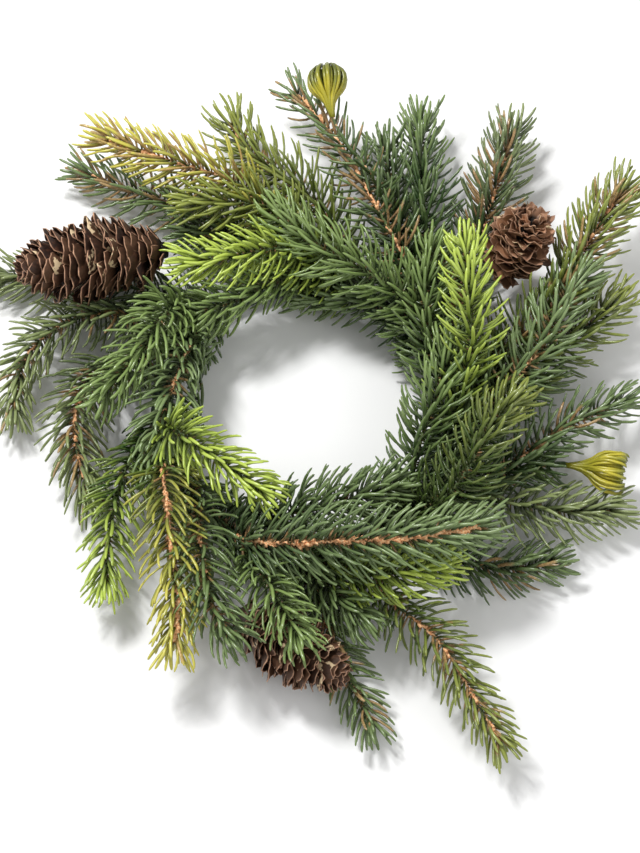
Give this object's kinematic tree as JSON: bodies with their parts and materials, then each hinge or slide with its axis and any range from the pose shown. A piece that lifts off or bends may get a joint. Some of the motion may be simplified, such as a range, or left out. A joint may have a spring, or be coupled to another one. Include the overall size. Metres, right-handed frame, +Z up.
{
  "type": "spruce candle ring",
  "caption": "Flat ring of spruce sprigs and cones on a taped wire hoop, which lies round a pillar candle.",
  "frame": {"origin": "middle of the hoop, on the surface that the ring lies on", "axes": "+Z up out of the surface, +Y to the back of the ring along its longest reach"},
  "size_m": [0.386, 0.4108, 0.081],
  "materials": {
    "hoop_tape": "dark green floral tape, dull",
    "needles_dark": "dark green, soft gloss",
    "needles_green": "mid green, soft gloss",
    "needles_blue": "blue green, soft gloss",
    "needles_grey": "grey green, soft gloss",
    "needles_olive": "olive, soft gloss",
    "needles_lime": "lime, soft gloss",
    "needles_yellow": "yellow green, soft gloss",
    "bud": "golden olive, soft gloss",
    "cone_scales": "dark brown, dull, tan rims"
  },
  "bodies": {
    "root": {"base_hoop": "hoop_tape", "bud_right": "bud", "bud_top": "bud", "cone_bottom": "cone_scales", "cone_left": "cone_scales", "cone_right": "cone_scales", "sprig_bottom_inner": "needles_dark", "sprig_bottom_lime": "needles_lime", "sprig_bottom_long": "needles_blue", "sprig_bottom_middle": "needles_dark", "sprig_bottom_over_cone": "needles_green", "sprig_bottom_right_long": "needles_olive", "sprig_bottom_short": "needles_dark", "sprig_left_blue": "needles_blue", "sprig_left_deep": "needles_dark", "sprig_left_far": "needles_grey", "sprig_left_inner_lime": "needles_lime", "sprig_left_lower": "needles_grey", "sprig_left_outer": "needles_grey", "sprig_left_over": "needles_green", "sprig_lower_left_dark": "needles_dark", "sprig_lower_left_lime": "needles_lime", "sprig_lower_left_yellow": "needles_yellow", "sprig_lower_right_shade": "needles_dark", "sprig_right_blue": "needles_blue", "sprig_right_bronze": "needles_olive", "sprig_right_lime": "needles_lime", "sprig_right_long": "needles_dark", "sprig_right_lower_inner": "needles_green", "sprig_right_outer": "needles_olive", "sprig_right_over": "needles_olive", "sprig_right_pale": "needles_grey", "sprig_right_short": "needles_dark", "sprig_right_upper_inner": "needles_green", "sprig_top_deep": "needles_dark", "sprig_top_long": "needles_dark", "sprig_top_right": "needles_grey", "sprig_top_short": "needles_dark", "sprig_top_wide": "needles_green", "sprig_upper_left_deep": "needles_dark", "sprig_upper_left_dull": "needles_olive", "sprig_upper_left_glossy": "needles_green", "sprig_upper_left_inner": "needles_green", "sprig_upper_left_lime": "needles_lime", "sprig_upper_left_olive": "needles_olive", "sprig_upper_left_shade": "needles_dark", "sprig_upper_left_yellow": "needles_yellow"}
  },
  "joints": []
}
